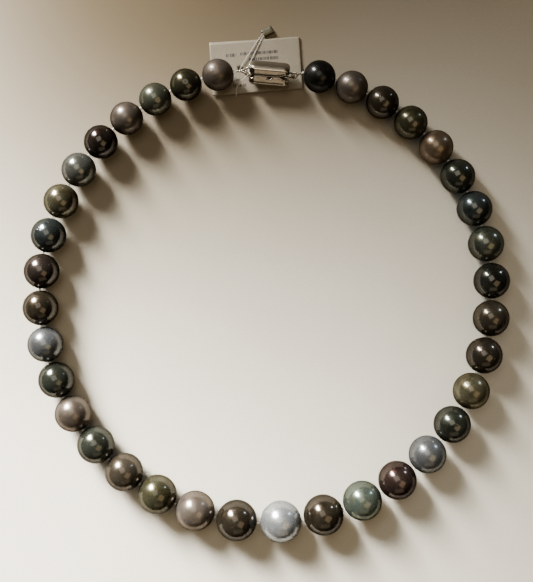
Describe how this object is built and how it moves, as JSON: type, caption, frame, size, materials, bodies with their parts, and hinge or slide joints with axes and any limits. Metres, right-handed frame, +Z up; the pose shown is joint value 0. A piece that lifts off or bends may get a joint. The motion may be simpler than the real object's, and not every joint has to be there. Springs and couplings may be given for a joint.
{
  "type": "pearl necklace",
  "caption": "Graduated string of dark round pearls, knotted on silk, closed by a hinged fold-over clasp, with a folded paper price label tied to it.",
  "frame": {"origin": "on the table, below the middle of the necklace (its label, string and crimp left out)", "axes": "+Z up from the table the necklace lies on, +Y from the bottom pearls to the clasp, +X to the right seen from above with the clasp at the top"},
  "size_m": [0.1466, 0.1569, 0.0124],
  "materials": {
    "nacre_silver": "gloss",
    "nacre_rose_grey": "gloss",
    "nacre_green_grey": "gloss",
    "nacre_olive": "gloss",
    "nacre_aubergine": "gloss",
    "nacre_black": "gloss",
    "clasp_metal": "polished edges, satin face",
    "ring_metal": "polished",
    "bullion_wire": "fine coil",
    "silk": "twisted silk",
    "label_paper": "matte",
    "label_thread": "twisted thread",
    "crimp_metal": "satin"
  },
  "bodies": {
    "clasp": {"clasp_base_shell": "clasp_metal", "clasp_hinge_pin": "clasp_metal", "clasp_hook_post": "clasp_metal"},
    "clasp_lid": {"clasp_lid_shell": "clasp_metal", "clasp_snap_socket": "clasp_metal"},
    "left_ring": {"left_jump_ring": "ring_metal"},
    "right_ring": {"right_jump_ring": "ring_metal"},
    "label": {"label": "label_paper", "label_string": "label_thread", "label_crimp": "crimp_metal"},
    "pearl_01": {"pearl_01": "nacre_rose_grey", "left_bullion_loop": "bullion_wire", "left_loop_silk": "silk"},
    "pearl_02": {"pearl_02": "nacre_olive"},
    "pearl_03": {"pearl_03": "nacre_green_grey"},
    "pearl_04": {"pearl_04": "nacre_rose_grey"},
    "pearl_05": {"pearl_05": "nacre_aubergine"},
    "pearl_06": {"pearl_06": "nacre_green_grey"},
    "pearl_07": {"pearl_07": "nacre_olive"},
    "pearl_08": {"pearl_08": "nacre_black"},
    "pearl_09": {"pearl_09": "nacre_aubergine"},
    "pearl_10": {"pearl_10": "nacre_aubergine"},
    "pearl_11": {"pearl_11": "nacre_silver"},
    "pearl_12": {"pearl_12": "nacre_green_grey"},
    "pearl_13": {"pearl_13": "nacre_rose_grey"},
    "pearl_14": {"pearl_14": "nacre_green_grey"},
    "pearl_15": {"pearl_15": "nacre_aubergine"},
    "pearl_16": {"pearl_16": "nacre_olive"},
    "pearl_17": {"pearl_17": "nacre_rose_grey"},
    "pearl_18": {"pearl_18": "nacre_aubergine"},
    "pearl_19": {"pearl_19": "nacre_silver"},
    "pearl_20": {"pearl_20": "nacre_aubergine"},
    "pearl_21": {"pearl_21": "nacre_green_grey"},
    "pearl_22": {"pearl_22": "nacre_aubergine"},
    "pearl_23": {"pearl_23": "nacre_silver"},
    "pearl_24": {"pearl_24": "nacre_olive"},
    "pearl_25": {"pearl_25": "nacre_green_grey"},
    "pearl_26": {"pearl_26": "nacre_aubergine"},
    "pearl_27": {"pearl_27": "nacre_rose_grey"},
    "pearl_28": {"pearl_28": "nacre_black"},
    "pearl_29": {"pearl_29": "nacre_green_grey"},
    "pearl_30": {"pearl_30": "nacre_black"},
    "pearl_31": {"pearl_31": "nacre_green_grey"},
    "pearl_32": {"pearl_32": "nacre_rose_grey"},
    "pearl_33": {"pearl_33": "nacre_olive"},
    "pearl_34": {"pearl_34": "nacre_rose_grey"},
    "pearl_35": {"pearl_35": "nacre_rose_grey"},
    "pearl_36": {"pearl_36": "nacre_black", "right_bullion_loop": "bullion_wire", "right_loop_silk": "silk"}
  },
  "joints": [
    {"name": "clasp_lid_hinge", "type": "hinge", "parent": "clasp", "child": "clasp_lid", "pos_m": [-0.0046, 0.06902, 0.00456], "axis": [-0.05, -0.5714, 0.8192], "range_deg": [0, 50]},
    {"name": "left_ring_swing", "type": "hinge", "parent": "clasp", "child": "left_ring", "pos_m": [-0.0046, 0.06902, 0.00456], "axis": [0, 0, 1], "range_deg": [-12, 0]},
    {"name": "right_ring_swing", "type": "hinge", "parent": "clasp", "child": "right_ring", "pos_m": [0.00492, 0.06819, 0.00456], "axis": [0, 0, -1], "range_deg": [-12, 0]},
    {"name": "left_loop_swing", "type": "hinge", "parent": "left_ring", "child": "pearl_01", "pos_m": [-0.00646, 0.06918, 0.00456], "axis": [0, 0, 1], "range_deg": [-15, 0]},
    {"name": "right_loop_swing", "type": "hinge", "parent": "right_ring", "child": "pearl_36", "pos_m": [0.00847, 0.06788, 0.00456], "axis": [0, 0, -1], "range_deg": [-15, 0]},
    {"name": "label_swing", "type": "hinge", "parent": "left_ring", "child": "label", "pos_m": [-0.00562, 0.06863, 0.0043], "axis": [0, 0, 1], "range_deg": [-4, 10]},
    {"name": "knot_01_02", "type": "hinge", "parent": "pearl_01", "child": "pearl_02", "pos_m": [-0.01947, 0.0668, 0.00561], "axis": [0, 0, 1], "range_deg": [-15, 0]},
    {"name": "knot_02_03", "type": "hinge", "parent": "pearl_02", "child": "pearl_03", "pos_m": [-0.02897, 0.06319, 0.00493], "axis": [0, 0, 1], "range_deg": [-15, 0]},
    {"name": "knot_03_04", "type": "hinge", "parent": "pearl_03", "child": "pearl_04", "pos_m": [-0.03795, 0.05813, 0.00502], "axis": [0, 0, 1], "range_deg": [-15, 0]},
    {"name": "knot_04_05", "type": "hinge", "parent": "pearl_04", "child": "pearl_05", "pos_m": [-0.04621, 0.05165, 0.00511], "axis": [0, 0, 1], "range_deg": [-15, 0]},
    {"name": "knot_05_06", "type": "hinge", "parent": "pearl_05", "child": "pearl_06", "pos_m": [-0.05348, 0.04383, 0.00519], "axis": [0, 0, 1], "range_deg": [-15, 0]},
    {"name": "knot_06_07", "type": "hinge", "parent": "pearl_06", "child": "pearl_07", "pos_m": [-0.05953, 0.03485, 0.00525], "axis": [0, 0, 1], "range_deg": [-15, 0]},
    {"name": "knot_07_08", "type": "hinge", "parent": "pearl_07", "child": "pearl_08", "pos_m": [-0.06412, 0.02491, 0.00528], "axis": [0, 0, 1], "range_deg": [-15, 0]},
    {"name": "knot_08_09", "type": "hinge", "parent": "pearl_08", "child": "pearl_09", "pos_m": [-0.06707, 0.01429, 0.00531], "axis": [0, 0, 1], "range_deg": [-15, 0]},
    {"name": "knot_09_10", "type": "hinge", "parent": "pearl_09", "child": "pearl_10", "pos_m": [-0.06829, 0.00329, 0.00534], "axis": [0, 0, 1], "range_deg": [-15, 0]},
    {"name": "knot_10_11", "type": "hinge", "parent": "pearl_10", "child": "pearl_11", "pos_m": [-0.0677, -0.00782, 0.00537], "axis": [0, 0, 1], "range_deg": [-15, 0]},
    {"name": "knot_11_12", "type": "hinge", "parent": "pearl_11", "child": "pearl_12", "pos_m": [-0.0653, -0.01875, 0.00543], "axis": [0, 0, 1], "range_deg": [-15, 0]},
    {"name": "knot_12_13", "type": "hinge", "parent": "pearl_12", "child": "pearl_13", "pos_m": [-0.06109, -0.02925, 0.00552], "axis": [0, 0, 1], "range_deg": [-15, 0]},
    {"name": "knot_13_14", "type": "hinge", "parent": "pearl_13", "child": "pearl_14", "pos_m": [-0.0551, -0.03905, 0.00563], "axis": [0, 0, 1], "range_deg": [-15, 0]},
    {"name": "knot_14_15", "type": "hinge", "parent": "pearl_14", "child": "pearl_15", "pos_m": [-0.04739, -0.04787, 0.00576], "axis": [0, 0, 1], "range_deg": [-15, 0]},
    {"name": "knot_15_16", "type": "hinge", "parent": "pearl_15", "child": "pearl_16", "pos_m": [-0.03807, -0.05538, 0.0059], "axis": [0, 0, 1], "range_deg": [-15, 0]},
    {"name": "knot_16_17", "type": "hinge", "parent": "pearl_16", "child": "pearl_17", "pos_m": [-0.02733, -0.06127, 0.00603], "axis": [0, 0, 1], "range_deg": [-15, 0]},
    {"name": "knot_17_18", "type": "hinge", "parent": "pearl_17", "child": "pearl_18", "pos_m": [-0.01546, -0.0652, 0.00613], "axis": [0, 0, 1], "range_deg": [-15, 0]},
    {"name": "knot_36_35", "type": "hinge", "parent": "pearl_36", "child": "pearl_35", "pos_m": [0.02109, 0.06629, 0.00492], "axis": [0, 0, -1], "range_deg": [-15, 0]},
    {"name": "knot_35_34", "type": "hinge", "parent": "pearl_35", "child": "pearl_34", "pos_m": [0.03061, 0.06238, 0.00499], "axis": [0, 0, -1], "range_deg": [-15, 0]},
    {"name": "knot_34_33", "type": "hinge", "parent": "pearl_34", "child": "pearl_33", "pos_m": [0.03955, 0.05701, 0.00508], "axis": [0, 0, -1], "range_deg": [-15, 0]},
    {"name": "knot_33_32", "type": "hinge", "parent": "pearl_33", "child": "pearl_32", "pos_m": [0.04769, 0.05021, 0.00517], "axis": [0, 0, -1], "range_deg": [-15, 0]},
    {"name": "knot_32_31", "type": "hinge", "parent": "pearl_32", "child": "pearl_31", "pos_m": [0.0548, 0.04208, 0.00527], "axis": [0, 0, -1], "range_deg": [-15, 0]},
    {"name": "knot_31_30", "type": "hinge", "parent": "pearl_31", "child": "pearl_30", "pos_m": [0.06062, 0.03277, 0.00534], "axis": [0, 0, -1], "range_deg": [-15, 0]},
    {"name": "knot_30_29", "type": "hinge", "parent": "pearl_30", "child": "pearl_29", "pos_m": [0.06492, 0.0225, 0.0054], "axis": [0, 0, -1], "range_deg": [-15, 0]},
    {"name": "knot_29_28", "type": "hinge", "parent": "pearl_29", "child": "pearl_28", "pos_m": [0.06752, 0.01155, 0.00543], "axis": [0, 0, -1], "range_deg": [-15, 0]},
    {"name": "knot_28_27", "type": "hinge", "parent": "pearl_28", "child": "pearl_27", "pos_m": [0.06828, 0.00026, 0.00546], "axis": [0, 0, -1], "range_deg": [-15, 0]},
    {"name": "knot_27_26", "type": "hinge", "parent": "pearl_27", "child": "pearl_26", "pos_m": [0.06715, -0.01105, 0.00549], "axis": [0, 0, -1], "range_deg": [-15, 0]},
    {"name": "knot_26_25", "type": "hinge", "parent": "pearl_26", "child": "pearl_25", "pos_m": [0.06415, -0.02208, 0.00553], "axis": [0, 0, -1], "range_deg": [-15, 0]},
    {"name": "knot_25_24", "type": "hinge", "parent": "pearl_25", "child": "pearl_24", "pos_m": [0.0593, -0.03252, 0.0056], "axis": [0, 0, -1], "range_deg": [-15, 0]},
    {"name": "knot_24_23", "type": "hinge", "parent": "pearl_24", "child": "pearl_23", "pos_m": [0.05268, -0.04211, 0.0057], "axis": [0, 0, -1], "range_deg": [-15, 0]},
    {"name": "knot_23_22", "type": "hinge", "parent": "pearl_23", "child": "pearl_22", "pos_m": [0.04439, -0.05057, 0.00582], "axis": [0, 0, -1], "range_deg": [-15, 0]},
    {"name": "knot_22_21", "type": "hinge", "parent": "pearl_22", "child": "pearl_21", "pos_m": [0.03454, -0.05758, 0.00595], "axis": [0, 0, -1], "range_deg": [-15, 0]},
    {"name": "knot_21_20", "type": "hinge", "parent": "pearl_21", "child": "pearl_20", "pos_m": [0.02336, -0.06284, 0.00609], "axis": [0, 0, -1], "range_deg": [-15, 0]},
    {"name": "knot_20_19", "type": "hinge", "parent": "pearl_20", "child": "pearl_19", "pos_m": [0.01115, -0.06605, 0.00622], "axis": [0, 0, -1], "range_deg": [-15, 0]}
  ]
}
